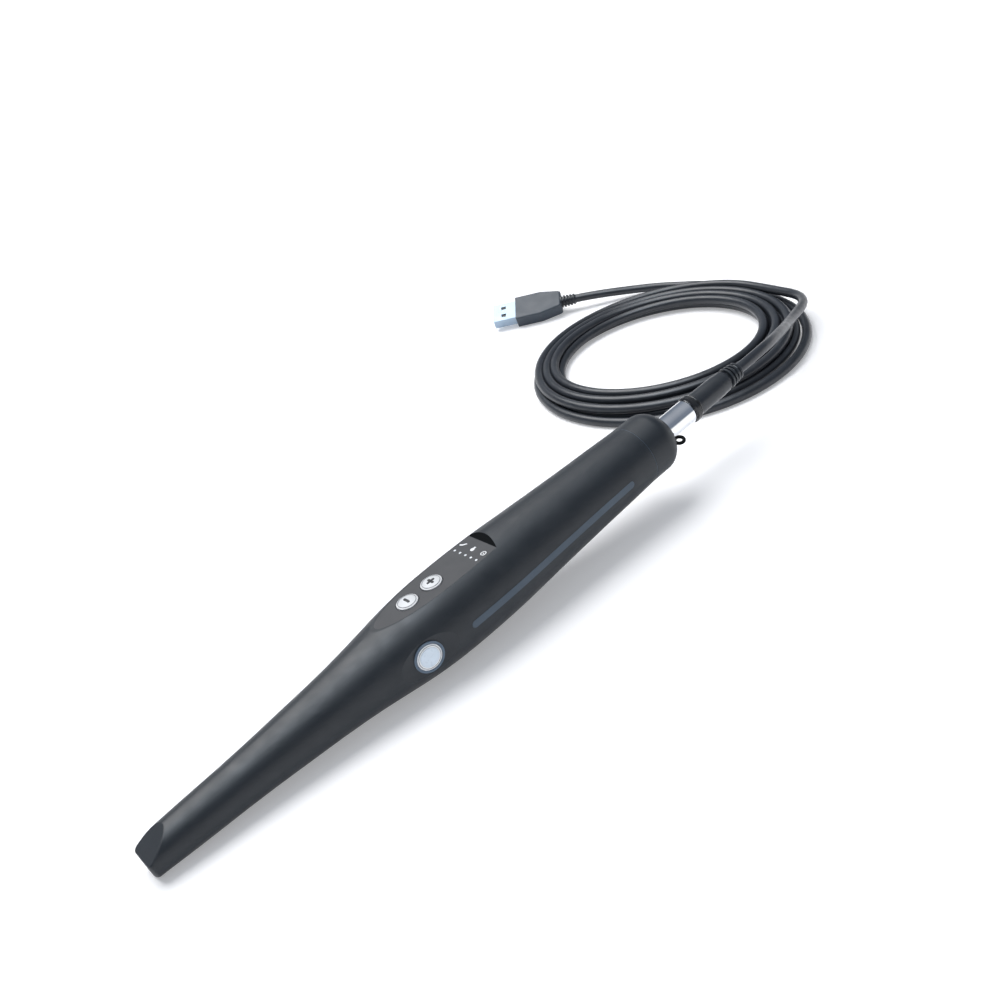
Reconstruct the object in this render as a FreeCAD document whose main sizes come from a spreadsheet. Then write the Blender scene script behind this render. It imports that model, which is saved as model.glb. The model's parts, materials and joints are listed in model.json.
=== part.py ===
"""Intraoral dental camera: a pen-shaped hand wand with a plug-in USB cable, laid loosely in a coil.

The wand is drawn along its own axis, X from the tip to the rear, with the keypad facing +Z. It then
takes a common placement that tips it until the tip and the thickest part both rest on Z = 0.
"""

import FreeCAD, Part
import math
import os

import Sketcher

Vector = FreeCAD.Vector
Rotation = FreeCAD.Rotation
Placement = FreeCAD.Placement

# Driving dimensions, in millimetres and degrees.
SIZES = {
    "barrel_len": 196.9, "wall": 1.6, "tip_face_rad": 4.32, "tip_round": 1.5, "seam_rad": 10.9,
    "facet_len": 9.6, "facet_low": 1.25, "facet_high": 6.25, "facet_wall": 1.3, "facet_fillet": 0.45,
    "flat_low": 5.0, "flat_len": 12.6, "flat_ramp": 17.0,
    "pad_high": 11.9, "pad_thick": 0.8, "pad_floor": 9.2, "pad_start": 82.0, "pad_end": 131.6,
    "pad_slope_end": 134.0, "pad_slope_high": 14.4, "pad_inset": 0.2,
    "key_rad": 3.5, "key_gap": 0.15, "key_low": 11.5, "key_rim": 12.15, "key_dome": 0.5,
    "key_stem_rad": 1.4, "key_stem_low": 10.75, "minus_pos": 100.5, "plus_pos": 110.2,
    "switch_rad": 1.75, "switch_len": 0.9, "plunger_rad": 0.8, "plunger_len": 0.3,
    "pip_pos": 124.4, "pip_pitch": 2.75, "pip_rad": 0.42,
    "dish_rad": 50.0, "dish_pos": 94.4, "dish_side": 11.63, "dish_slope": 6.28,
    "ring_rad": 5.1, "ring_bore": 4.35, "ring_deep": 1.2, "ring_proud": 0.5,
    "shot_rad": 4.2, "shot_low": 0.55, "shot_rim": 0.45, "shot_dome": 0.35, "shot_stem": 1.3,
    "shot_stem_end": 2.5,
    "strip_start": 110.2, "strip_end": 185.3, "strip_wide": 2.4, "strip_deep": 1.0,
    "head_bore": 4.3, "rear_bore": 9.3, "glass_start": 2.9, "glass_len": 8.6, "glass_wide": 5.0,
    "glass_thick": 0.8, "led_board_low": 3.6, "led_board_thick": 0.5, "led_high": 0.5,
    "optic_pos": 7.2, "prism_side": 3.6, "carrier_len": 12.0, "carrier_start": 4.0, "lens_rad": 1.8,
    "tube_rad": 4.2, "tube_bore": 3.6, "tube_end": 41.0, "magnet_bore": 3.0, "carriage_rad": 2.9,
    "carriage_start": 24.0, "carriage_len": 4.0,
    "board_start": 88.0, "board_end": 180.0, "board_half": 5.8, "board_low": 0.3, "board_thick": 1.0,
    "tray_start": 99.0, "tray_end": 188.0, "tray_half": 6.6, "tray_deep": 3.0,
    "cap_end": 212.9, "dome_start": 204.6, "dome_rad": 10.9, "spigot_start": 188.0,
    "cap_bore": 7.6, "cap_hole": 5.0, "socket_rad": 6.0, "socket_bore": 4.65, "socket_start": 199.0,
    "socket_end": 208.0, "eyelet_rad": 1.6, "eyelet_wire": 0.6, "eyelet_pos": 212.5,
    "eyelet_side": 6.95, "eyelet_drop": 2.0, "eyelet_swing": 74.0,
    "sleeve_start": 202.0, "sleeve_end": 225.5, "sleeve_rad": 4.55, "sleeve_wall": 0.6,
    "collar_end": 228.1, "collar_rad": 5.0, "grip_end": 246.0, "grip_rad": 4.25,
    "relief_end": 253.5, "relief_rad": 3.9, "cord_rad": 2.0,
    "coil_major": 65.5, "coil_minor": 60.5, "coil_hole": 44.5, "coil_high": 9.0, "coil_turn": 57.0,
    "coil_round": 2.5,
    "usb_wide": 12.0, "usb_high": 4.5, "usb_skin": 0.35, "usb_long": 11.75, "grip_wide": 16.0,
    "grip_high": 6.4, "grip_long": 23.4, "grip_round": 0.8, "tongue_wide": 11.0,
    "usb_turn": -45.6, "usb_roll": 20.6, "tilt": 4.6,
}

# Outside radius of the barrel at stations along its axis.
STATIONS = [
    (1.5, 5.82), (4.1, 5.93), (9.1, 6.2), (19.3, 6.65), (29.8, 7.05), (40.7, 7.65), (51.8, 8.42),
    (63.2, 9.25), (75.0, 10.4), (81.1, 11.2), (87.1, 12.05), (93.3, 12.9), (99.7, 13.55),
    (106.1, 13.95), (112.6, 14.12), (119.1, 14.15), (125.8, 14.08), (132.5, 13.9), (139.5, 13.55),
    (153.7, 12.8), (168.0, 12.1), (183.4, 11.5), (196.9, 10.9),
]

# Centre of the coil's outer and inner outline, the USB plug's front face and the cable's route.
COIL_CENTRE = (184.3, 76.7)
COIL_HOLE = (186.0, 82.7)
USB_FRONT = (192.3, 188.0)
LEAD_END = [(182.7, 10.7, 21.5), (203.0, 23.5, 14.6), (234.3, 37.7, 9.8), (241.5, 64.5, 7.4)]
TAIL_START = [(242.6, 88.6, 6.5), (246.8, 107.0, 3.6), (244.8, 124.0, 2.1), (239.5, 139.5, 2.2)]

doc = FreeCAD.newDocument("intraoral_camera")
sheet = doc.addObject("Spreadsheet::Sheet", "dims")
for row, letter in enumerate("abcdefghijklmnopqrstuvw"):
    SIZES["station_pos_" + letter] = STATIONS[row][0]
    SIZES["station_rad_" + letter] = STATIONS[row][1]
for row, (alias, number) in enumerate(SIZES.items(), start=1):
    sheet.set("A%d" % row, alias)
    sheet.set("B%d" % row, str(number))
    sheet.setAlias("B%d" % row, alias)
doc.recompute()

nodes = {}


# ---------------------------------------------------------------- formulas and primitives

def factors(word):
    """The factors of one term such as 0.5*wall."""
    return word.split("*")


def value(text):
    """Number of a sum of terms, each a cell name, a number or a product of them."""
    total = 0.0
    sign = 1.0
    for word in str(text).split():
        if word in "+-":
            sign = 1.0 if word == "+" else -1.0
            continue
        term = 1.0
        for factor in factors(word):
            term *= sheet.get(factor) if factor in SIZES else float(factor)
        total += sign * term
        sign = 1.0
    return total


def formula(text):
    """The same sum as an expression on the sheet."""
    words = []
    for word in str(text).split():
        parts = ["dims." + factor if factor in SIZES else factor for factor in factors(word)]
        words.append(" * ".join(parts))
    return " ".join(words)


def bind(thing, **sizes):
    for name, text in sizes.items():
        thing.setExpression(name, formula(text))


def place(thing, at, along="z"):
    """Turn the primitive's own Z to the named axis and bind its base point."""
    turns = {
        "z": Rotation(),
        "x": Rotation(Vector(0, 1, 0), 90),
        "y": Rotation(Vector(1, 0, 0), -90),
        "-y": Rotation(Vector(1, 0, 0), 90),
        "-z": Rotation(Vector(1, 0, 0), 180),
    }
    thing.Placement = Placement(Vector(), turns[along])
    for letter, text in zip("xyz", at):
        thing.setExpression("Placement.Base." + letter, formula(text))
    return thing


def rod(name, radius, length, at, along="x"):
    made = doc.addObject("Part::Cylinder", name)
    bind(made, Radius=radius, Height=length)
    return place(made, at, along)


def block(name, size, at):
    made = doc.addObject("Part::Box", name)
    bind(made, Length=size[0], Width=size[1], Height=size[2])
    return place(made, at)


def centred_block(name, size, at):
    """A box whose base point is the middle of its low X face, centred in Y."""
    return block(name, size, (at[0], at[1] + " - 0.5*" + size[1], at[2]))


def fuse(name, pieces):
    made = doc.addObject("Part::MultiFuse", name)
    made.Shapes = pieces
    return made


def common(name, pieces):
    made = doc.addObject("Part::MultiCommon", name)
    made.Shapes = pieces
    return made


def cut(name, base, tools):
    made = doc.addObject("Part::Cut", name)
    made.Base = base
    made.Tool = tools[0] if len(tools) == 1 else fuse(name + "_tools", tools)
    return made


def group(name, pieces):
    made = doc.addObject("Part::Compound", name)
    made.Links = pieces
    return made


def pipe(name, radius, bore, length, at, along="x"):
    outer = rod(name + "_outer", radius, length, at, along)
    return cut(name, outer, [rod(name + "_bore", bore, length, at, along)])


def keep(label, made, frame="wand", shared=False):
    """File a finished sub-part under its label; frame says which placement it takes.

    A primitive bound to the sheet, or a solid that also cuts its neighbour, is held in a compound,
    so that the sub-part's own placement is free.
    """
    if shared or made.TypeId in ("Part::Box", "Part::Cylinder", "Part::Cone", "Part::Torus"):
        made = group("held_" + label, [made])
    made.Label = label
    nodes[label] = (made, frame)
    return made


# ---------------------------------------------------------------- sketches and bodies

def plane_of(body, role):
    return [item for item in body.Origin.OriginFeatures if item.Role == role][0]


def new_sketch(body, name, role):
    sketch = body.newObject("Sketcher::SketchObject", name)
    sketch.AttachmentSupport = [(plane_of(body, role), "")]
    sketch.MapMode = "FlatFace"
    return sketch


def pin_point(sketch, line, end, across, up):
    """Tie one end of a sketch line to the sheet."""
    for kind, axis, text in (("DistanceX", -2, across), ("DistanceY", -1, up)):
        number = value(text)
        if abs(number) < 1e-9:
            sketch.addConstraint(Sketcher.Constraint("PointOnObject", line, end, axis))
            continue
        index = sketch.addConstraint(Sketcher.Constraint(kind, -1, 1, line, end, number))
        sketch.setExpression("Constraints[%d]" % index, formula(text))


def polygon(body, name, role, corners):
    """A closed polygon sketch with every corner bound to the sheet."""
    sketch = new_sketch(body, name, role)
    points = [Vector(value(across), value(up), 0) for across, up in corners]
    count = len(points)
    for i in range(count):
        sketch.addGeometry(Part.LineSegment(points[i], points[(i + 1) % count]), False)
    for i in range(count):
        sketch.addConstraint(Sketcher.Constraint("Coincident", i, 2, (i + 1) % count, 1))
    for i, (across, up) in enumerate(corners):
        pin_point(sketch, i, 1, across, up)
    return sketch


def revolve(body, sketch, name):
    made = body.newObject("PartDesign::Revolution", name)
    made.Profile = sketch
    made.ReferenceAxis = (sketch, ["H_Axis"])
    made.Angle = 360
    body.Tip = made
    return made


def turned(name, corners):
    """A body turned about the X axis from a polygon of (position, radius) corners."""
    body = doc.addObject("PartDesign::Body", name)
    revolve(body, polygon(body, name + "_profile", "XZ_Plane", corners), name + "_turn")
    return body


def slot_through(body, name, corners):
    """Cut a side-view polygon right through the body, both ways from the middle plane."""
    sketch = polygon(body, name + "_sketch", "XZ_Plane", corners)
    made = body.newObject("PartDesign::Pocket", name)
    made.Profile = sketch
    made.Type = "Length"
    made.Length = 80
    made.Midplane = True
    body.Tip = made
    return made


# ---------------------------------------------------------------- barrel

def barrel_radius(x, inset=0.0):
    """Outside radius of the barrel at one position, from its spline."""
    curve = station_curve(inset)
    return curve.value(curve.parameter(Vector(x, 10, 0))).y


def station_curve(inset=0.0):
    points = []
    for letter in "abcdefghijklmnopqrstuvw":
        across = sheet.get("station_pos_" + letter)
        points.append(Vector(across, sheet.get("station_rad_" + letter) - inset, 0))
    curve = Part.BSplineCurve()
    curve.interpolate(points)
    return curve


# Which end meets which: face, tip rounding (an arc runs anticlockwise), spline, rear face, axis.
JOINTS_OF_OUTLINE = [(0, 2, 1, 2), (1, 1, 2, 1), (2, 2, 3, 1), (3, 2, 4, 1), (4, 2, 0, 1)]


def spline_turned(name, inset):
    """The barrel's outside, turned from its spline and set in by a small amount."""
    body = doc.addObject("PartDesign::Body", name)
    sketch = new_sketch(body, name + "_profile", "XZ_Plane")
    low = value("tip_face_rad") - inset
    radius = value("tip_round")
    end = value("barrel_len")
    first = station_curve(inset).StartPoint
    last = station_curve(inset).EndPoint
    round_arc = Part.Arc(
        Vector(0, low, 0),
        Vector(radius * (1 - math.cos(math.pi / 4)), low + radius * math.sin(math.pi / 4), 0),
        first,
    )
    sketch.addGeometry(Part.LineSegment(Vector(0, 0, 0), Vector(0, low, 0)), False)
    sketch.addGeometry(round_arc, False)
    sketch.addGeometry(station_curve(inset), False)
    sketch.addGeometry(Part.LineSegment(last, Vector(end, 0, 0)), False)
    sketch.addGeometry(Part.LineSegment(Vector(end, 0, 0), Vector(0, 0, 0)), False)
    for first_line, first_end, next_line, next_end in JOINTS_OF_OUTLINE:
        sketch.addConstraint(Sketcher.Constraint("Coincident", first_line, first_end, next_line, next_end))
    revolve(body, sketch, name + "_turn")
    return body


def facet_edges(shape):
    """The long edges of the oblique facet on the tip, found by their distance from its plane."""
    slope = (value("facet_high") - value("facet_low")) / value("facet_len")
    normal = Vector(-slope, 0, 1).normalize()
    base = Vector(0, 0, value("facet_low"))
    names = []
    for number, edge in enumerate(shape.Edges, start=1):
        probes = [edge.valueAt(p) for p in (edge.FirstParameter, edge.LastParameter)]
        probes.append(edge.valueAt(0.5 * (edge.FirstParameter + edge.LastParameter)))
        if edge.Length > 3 and all(abs((probe - base).dot(normal)) < 1e-4 for probe in probes):
            names.append("Edge%d" % number)
    return names


def barrel_outside():
    body = spline_turned("barrel_outside", 0.0)
    facet = slot_through(body, "facet", [
        ("0", "facet_low"), ("facet_len", "facet_high"), ("facet_len", "9"), ("-3", "9"),
        ("-3", "facet_low"),
    ])
    doc.recompute()
    rounding = body.newObject("PartDesign::Fillet", "facet_rounding")
    rounding.Base = (facet, facet_edges(facet.Shape))
    bind(rounding, Radius="facet_fillet")
    body.Tip = rounding
    slot_through(body, "window_flat", [
        ("-2", "-1*flat_low"), ("flat_len", "-1*flat_low"), ("flat_ramp", "-7.4"), ("-2", "-7.4"),
    ])
    slot_through(body, "keypad_flat", [
        ("pad_start - 4", "pad_high"), ("pad_end", "pad_high"), ("pad_slope_end", "pad_slope_high"),
        ("pad_slope_end", "16"), ("pad_start - 4", "16"),
    ])
    return body


def keypad_blank():
    """Flat leaf-shaped plate that fills the keypad's recess, before its holes are cut."""
    body = doc.addObject("PartDesign::Body", "keypad_blank")
    sketch = new_sketch(body, "keypad_outline", "XY_Plane")
    inset = value("pad_inset")
    high = value("pad_high")
    end = value("pad_end")
    front = value("pad_start")
    while barrel_radius(front, inset) < high:
        front += 0.05
    stations = [front + (end - front) * share ** 2 for share in (0.08, 0.2, 0.35, 0.5, 0.65, 0.8, 0.9, 1.0)]
    half = [math.sqrt(barrel_radius(x, inset) ** 2 - high ** 2) for x in stations]
    right = [Vector(x, -wide, 0) for x, wide in zip(stations, half)]
    left = [Vector(x, wide, 0) for x, wide in zip(stations, half)]
    edge = Part.BSplineCurve()
    edge.interpolate(list(reversed(right)) + [Vector(front, 0, 0)] + left)
    sketch.addGeometry(edge, False)
    sketch.addGeometry(Part.LineSegment(left[-1], right[-1]), False)
    sketch.addConstraint(Sketcher.Constraint("Coincident", 0, 2, 1, 1))
    sketch.addConstraint(Sketcher.Constraint("Coincident", 1, 2, 0, 1))
    pad = body.newObject("PartDesign::Pad", "keypad_pad")
    pad.Profile = sketch
    bind(pad, Length="pad_thick")
    body.Tip = pad
    body.Placement = Placement(Vector(0, 0, high - value("pad_thick")), Rotation())
    return body


def end_trim_blank():
    """Thin plate lying on the sloping wall behind the keypad."""
    run = value("pad_slope_end") - value("pad_end")
    rise = value("pad_slope_high") - value("pad_high")
    plate = doc.addObject("Part::Box", "end_trim_plate")
    plate.Length = 6.0
    plate.Width = 20.0
    plate.Height = 0.5
    turn = Rotation(Vector(0, 1, 0), -math.degrees(math.atan2(rise, run)))
    base = Vector(value("pad_end"), -10, value("pad_high"))
    plate.Placement = Placement(base + turn.multVec(Vector(0.1, 0, -0.5)), turn)
    return common("end_trim_blank", [plate, spline_turned("end_trim_limit", 0.06)])


def side_frame(side):
    """Placement whose Z points out of the dish on one side of the wand."""
    slope = math.radians(value("dish_slope"))
    out = Vector(-math.sin(slope), side * math.cos(slope), 0)
    base = Vector(value("dish_pos"), side * value("dish_side"), 0)
    return Placement(base, Rotation(Vector(0, 0, 1), out))


def side_rod(name, side, radius, low, length):
    """A cylinder along the dish's normal, from a depth measured from the dish."""
    made = doc.addObject("Part::Cylinder", name)
    bind(made, Radius=radius, Height=length)
    made.Placement = side_frame(side).multiply(Placement(Vector(0, 0, value(low)), Rotation()))
    return made


def dish_cutter(name, side):
    """Upright cylinder that scoops the shallow leaf-shaped dish round a capture button."""
    made = doc.addObject("Part::Cylinder", name)
    bind(made, Radius="dish_rad", Height="40")
    centre = side_frame(side).multVec(Vector(0, 0, value("dish_rad")))
    made.Placement = Placement(centre + Vector(0, 0, -20), Rotation())
    return made


def strip_blank(name, side):
    """Long round-ended inlay on one side, following the barrel."""
    reach = "8"
    start = value("strip_start")
    end = value("strip_end")
    half = 0.5 * value("strip_wide")
    base_y = 8.0 if side > 0 else -16.0
    bar = doc.addObject("Part::Box", name + "_bar")
    bind(bar, Length="strip_end - strip_start - strip_wide", Width=reach, Height="strip_wide")
    bar.Placement = Placement(Vector(start + half, base_y, -half), Rotation())
    ends = []
    for tag, x in (("front", start + half), ("rear", end - half)):
        cap = doc.addObject("Part::Cylinder", name + "_" + tag)
        bind(cap, Radius="0.5*strip_wide", Height=reach)
        cap.Placement = Placement(Vector(x, base_y, 0), Rotation(Vector(1, 0, 0), -90))
        ends.append(cap)
    prism = fuse(name + "_prism", [bar] + ends)
    limit = spline_turned(name + "_limit", -0.06)
    core = spline_turned(name + "_core", value("strip_deep"))
    return cut(name, common(name + "_shell", [prism, limit]), [core])


def facet_roof(name):
    """Block above the inner face of the tip's facet wall."""
    slope = math.atan2(value("facet_high") - value("facet_low"), value("facet_len"))
    roof = doc.addObject("Part::Box", name)
    bind(roof, Length="30", Width="20", Height="10")
    turn = Rotation(Vector(0, 1, 0), -math.degrees(slope))
    drop = Vector(0, 0, value("facet_low")) + turn.multVec(Vector(-10, -10, -value("facet_wall")))
    roof.Placement = Placement(drop, turn)
    return roof


def cavity():
    """Inside of the barrel, leaving the keypad floor, the dish walls and the tip's facet solid."""
    hollow = turned("hollow", [
        ("2", "0"), ("2", "head_bore"), ("16.4", "head_bore"), ("22", "5.1"), ("41", "6"), ("64", "7.5"),
        ("76", "8.8"), ("88", "10.3"), ("100", "11.8"), ("110", "12.4"), ("127", "12.4"),
        ("142", "11.7"), ("158", "10.9"), ("178", "rear_bore"), ("barrel_len + 1", "rear_bore"),
        ("barrel_len + 1", "0"),
    ])
    floor = centred_block("keypad_floor", ("57", "40", "10"), ("pad_start - 2", "0", "pad_floor"))
    walls = [
        block("dish_wall_left", ("26", "10", "30"), ("dish_pos - 13", "9.7", "-15")),
        block("dish_wall_right", ("26", "10", "30"), ("dish_pos - 13", "-19.7", "-15")),
    ]
    return cut("cavity", hollow, [floor, facet_roof("cavity_roof")] + walls)


def make_barrel(pad_plate, trim_plate, strips):
    window = centred_block("window_opening", ("glass_len", "glass_wide", "3"),
                           ("glass_start", "0", "-1*flat_low - 1"))
    holes = [rod("key_hole_" + tag, "switch_rad + 0.1", "4", (tag + "_pos", "0", "8"), "z")
             for tag in ("minus", "plus")]
    for i in range(5):
        holes.append(rod("pip_hole_%d" % i, "pip_rad", "4", ("pip_pos", "%d*pip_pitch" % (i - 2), "8"), "z"))
    for tag, side in (("left", 1), ("right", -1)):
        holes.append(dish_cutter("dish_" + tag, side))
        holes.append(side_rod("ring_seat_" + tag, side, "ring_rad", "-1*ring_deep", "ring_deep + 3"))
        holes.append(side_rod("shot_hole_" + tag, side, "shot_stem + 0.2", "-4", "4"))
    tools = [cavity(), window, pad_plate, trim_plate] + strips + holes
    keep("barrel", cut("barrel", barrel_outside(), tools))


def make_trim(pad_plate, trim_plate, strips):
    holes = [rod("membrane_hole_" + tag, "key_rad + key_gap", "4", (tag + "_pos", "0", "10"), "z")
             for tag in ("minus", "plus")]
    for i in range(5):
        holes.append(rod("membrane_pip_%d" % i, "pip_rad", "4",
                         ("pip_pos", "%d*pip_pitch" % (i - 2), "10"), "z"))
    keep("keypad_membrane", cut("keypad_membrane", pad_plate, holes))
    keep("keypad_end_trim", trim_plate, shared=True)
    keep("side_strip_left", strips[0], shared=True)
    keep("side_strip_right", strips[1], shared=True)


# ---------------------------------------------------------------- keys and their electronics

def make_keys():
    for tag in ("plus", "minus"):
        where = tag + "_pos"
        cap = rod(tag + "_cap", "key_rad", "key_rim - key_low", (where, "0", "key_low"), "z")
        dome_rad = (value("key_rad") ** 2 + value("key_dome") ** 2) / (2 * value("key_dome"))
        ball = doc.addObject("Part::Sphere", tag + "_ball")
        ball.Radius = dome_rad
        place(ball, (where, "0", "key_rim + key_dome - %.4f" % dome_rad))
        slab = rod(tag + "_slab", "key_rad", "key_dome", (where, "0", "key_rim"), "z")
        stem = rod(tag + "_stem", "key_stem_rad", "key_low - key_stem_low", (where, "0", "key_stem_low"), "z")
        keep(tag + "_button", fuse(tag + "_button", [cap, common(tag + "_dome", [ball, slab]), stem]))
    switches = []
    for tag in ("plus", "minus"):
        base = rod(tag + "_switch_base", "switch_rad", "switch_len", (tag + "_pos", "0", "pad_floor"), "z")
        top = rod(tag + "_switch_top", "plunger_rad", "plunger_len",
                  (tag + "_pos", "0", "pad_floor + switch_len"), "z")
        switches.append(fuse(tag + "_switch", [base, top]))
    keep("keypad_switches", group("keypad_switches", switches))
    board = centred_block("keypad_board", ("39", "12", "1"), ("92.5", "0", "pad_floor - 1"))
    keep("keypad_board", board)
    leds = []
    pips = []
    for i in range(5):
        across = "%d*pip_pitch" % (i - 2)
        leds.append(block("indicator_%d" % i, ("0.6", "0.6", "0.4"),
                          ("pip_pos - 0.3", across + " - 0.3", "pad_floor")))
        pips.append(rod("light_pipe_%d" % i, "pip_rad", "pad_high - pad_floor - 0.36",
                        ("pip_pos", across, "pad_floor + 0.4"), "z"))
    keep("indicator_leds", group("indicator_leds", leds))
    keep("light_pipes", group("light_pipes", pips))
    keep("keypad_ribbon", centred_block("keypad_ribbon", ("0.3", "6", "pad_floor - 1.7"),
                                        ("131.5", "0", "0.7")))


def make_capture(tag, side):
    seat = side_rod(tag + "_ring_outer", side, "ring_rad", "-1*ring_deep", "ring_deep + ring_proud")
    bore = side_rod(tag + "_ring_bore", side, "ring_bore", "-1*ring_deep", "ring_deep + ring_proud")
    keep("capture_ring_" + tag, cut("capture_ring_" + tag, seat, [bore]))
    disc = side_rod(tag + "_disc", side, "shot_rad", "-1*shot_low", "shot_low + shot_rim")
    dome_rad = (value("shot_rad") ** 2 + value("shot_dome") ** 2) / (2 * value("shot_dome"))
    ball = doc.addObject("Part::Sphere", tag + "_shot_ball")
    ball.Radius = dome_rad
    top = Placement(Vector(0, 0, value("shot_rim + shot_dome") - dome_rad), Rotation())
    ball.Placement = side_frame(side).multiply(top)
    slab = side_rod(tag + "_shot_slab", side, "shot_rad", "shot_rim", "shot_dome")
    stem = side_rod(tag + "_shot_stem", side, "shot_stem", "-1*shot_stem_end", "shot_stem_end - shot_low")
    dome = common(tag + "_shot_dome", [ball, slab])
    keep("capture_button_" + tag, fuse("capture_button_" + tag, [disc, dome, stem]))
    base = side_rod(tag + "_shot_switch", side, "switch_rad", "-4.2", "1.1")
    return base


def make_capture_inside():
    switches = [make_capture("left", 1), make_capture("right", -1)]
    keep("capture_switches", group("capture_switches", switches))
    plate = centred_block("bracket_plate", ("8", "14.2", "1.5"), ("dish_pos - 4", "0", "-1*board_low - 1.5"))
    ears = []
    for tag, side in (("left", 1), ("right", -1)):
        ear = doc.addObject("Part::Box", "bracket_ear_" + tag)
        ear.Length = 8.0
        ear.Width = 4.6
        ear.Height = 1.2
        ear.Placement = side_frame(side).multiply(Placement(Vector(-4, -2.3, -5.4), Rotation()))
        ears.append(ear)
    return plate, ears


# ---------------------------------------------------------------- optics in the head and neck

def make_optics():
    keep("window_glass", centred_block("window_glass", ("glass_len", "glass_wide", "glass_thick"),
                                       ("glass_start", "0", "-1*flat_low")))
    plate = centred_block("led_plate", ("glass_len", "glass_wide", "led_board_thick"),
                          ("glass_start", "0", "-1*led_board_low"))
    sight = rod("led_board_sight", "1.7", "3", ("optic_pos", "0", "-5"), "z")
    keep("led_board", cut("led_board", plate, [sight]))
    leds = []
    for i, across in enumerate(("3.3", "optic_pos - 0.5", "10.1")):
        for j, side in enumerate(("1.7 - 0.3", "-1.7 - 0.3")):
            if i == 1:
                side = ("2.1 - 0.3", "-2.1 - 0.3")[j]
            leds.append(block("white_led_%d%d" % (i, j), ("1", "0.6", "led_high"),
                              (across, side, "-1*led_board_low - led_high")))
    keep("white_leds", group("white_leds", leds))

    prism = doc.addObject("PartDesign::Body", "mirror_prism")
    low = "-1*led_board_low + 1"
    corners = [
        ("optic_pos - 0.5*prism_side", low), ("optic_pos + 0.5*prism_side", low),
        ("optic_pos + 0.5*prism_side", low + " + prism_side"),
    ]
    pad = prism.newObject("PartDesign::Pad", "prism_pad")
    pad.Profile = polygon(prism, "prism_side_view", "XZ_Plane", corners)
    pad.Midplane = True
    bind(pad, Length="prism_side")
    prism.Tip = pad
    keep("mirror_prism", prism)

    core = rod("carrier_core", "head_bore", "carrier_len", ("carrier_start", "0", "0"))
    underside = centred_block("carrier_under", ("20", "12", "6"),
                              ("0", "0", "-1*led_board_low + led_board_thick - 6"))
    pocket = centred_block("carrier_pocket", ("prism_side", "prism_side", "prism_side + 3.4"),
                           ("optic_pos - 0.5*prism_side", "0", "-6"))
    sight = rod("carrier_sight", "lens_rad", "12", ("optic_pos", "0", "-0.8"))
    tools = [underside, pocket, sight, facet_roof("carrier_roof")]
    keep("optic_carrier", cut("optic_carrier", core, tools))
    keep("front_lens", rod("front_lens", "lens_rad", "1.4", ("10.6", "0", "-0.8")))

    start = "carrier_start + carrier_len"
    tube = rod("tube_outer", "tube_rad", "tube_end - carrier_start - carrier_len", (start, "0", "0"))
    mouth = rod("tube_mouth", "2.6", "6", (start, "0", "0"))
    room = rod("tube_room", "tube_bore", "tube_end - carrier_start - carrier_len - 3",
               (start + " + 3", "0", "0"))
    keep("lens_tube", cut("lens_tube", tube, [mouth, room]))
    keep("focus_magnet", pipe("focus_magnet", "tube_bore", "magnet_bore", "12", ("20", "0", "0")))
    ring = pipe("focus_carriage", "carriage_rad", "2.1", "carriage_len", ("carriage_start", "0", "0"))
    keep("focus_carriage", ring)
    keep("focus_lens", rod("focus_lens", "2.1", "2", ("carriage_start + 1", "0", "0")))
    keep("sensor_board", rod("sensor_board", "tube_rad", "1.2", ("tube_end", "0", "0")))
    keep("image_sensor", centred_block("image_sensor", ("1.2", "4.4", "4"), ("tube_end - 1.2", "0", "-2")))
    keep("sensor_ribbon", centred_block("sensor_ribbon", ("board_start - tube_end - 1.2", "4", "0.3"),
                                        ("tube_end + 1.2", "0", "0")))


# ---------------------------------------------------------------- boards and tray

def screw_spots():
    return [(x, y) for x in ("104", "175") for y in ("4.4", "-4.4")]


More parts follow.
